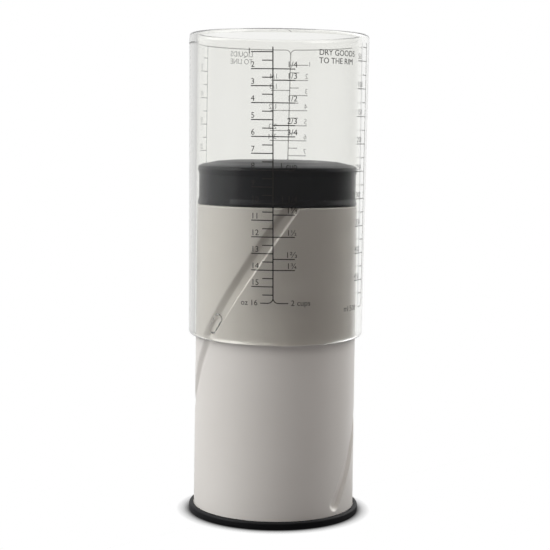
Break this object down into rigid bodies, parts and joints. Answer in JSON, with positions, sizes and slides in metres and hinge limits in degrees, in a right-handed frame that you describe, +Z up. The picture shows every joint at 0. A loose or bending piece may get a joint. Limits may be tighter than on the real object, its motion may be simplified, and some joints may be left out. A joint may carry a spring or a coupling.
{
  "type": "plunger measuring cup",
  "caption": "Clear graduated sleeve on a hollow plunger with a silicone seal and helical grooves; turning the sleeve raises or lowers it to set the cup's volume.",
  "frame": {"origin": "centre of the foot ring's underside, on the table", "axes": "+Z up along the common axis of sleeve and plunger; -Y is the front, which carries the dry ounce and cup scale"},
  "size_m": [0.0802, 0.0803, 0.2149],
  "materials": {
    "clear_plastic": "clear, polished",
    "white_plastic": "fine satin",
    "black_silicone": "satin",
    "black_rubber": "matt",
    "black_ink": "screen printed"
  },
  "bodies": {
    "plunger": {"foot_ring": "black_rubber", "plunger_tube": "white_plastic", "base_plate": "white_plastic", "plunger_head": "white_plastic"},
    "seal": {"plunger_seal": "black_silicone"},
    "sleeve": {"measuring_sleeve": "clear_plastic", "dry_ounce_and_cup_scale": "black_ink", "dry_millilitre_scale": "black_ink", "liquid_ounce_and_cup_scale": "black_ink", "liquid_millilitre_scale": "black_ink", "liquid_fill_line": "black_ink"}
  },
  "joints": [
    {"name": "sleeve_turn", "type": "hinge", "parent": "plunger", "child": "seal", "pos_m": [0, 0, 0.15], "axis": [0, 0, 1], "range_deg": [-82.6, 60.8]},
    {"name": "sleeve_rise", "type": "slide", "parent": "seal", "child": "sleeve", "axis": [0, 0, 1], "range_m": [-0.0768, 0.0565]}
  ],
  "couplings": [
    {"joint": "sleeve_turn", "follows": "sleeve_rise", "rad_per_m": 18.756}
  ]
}
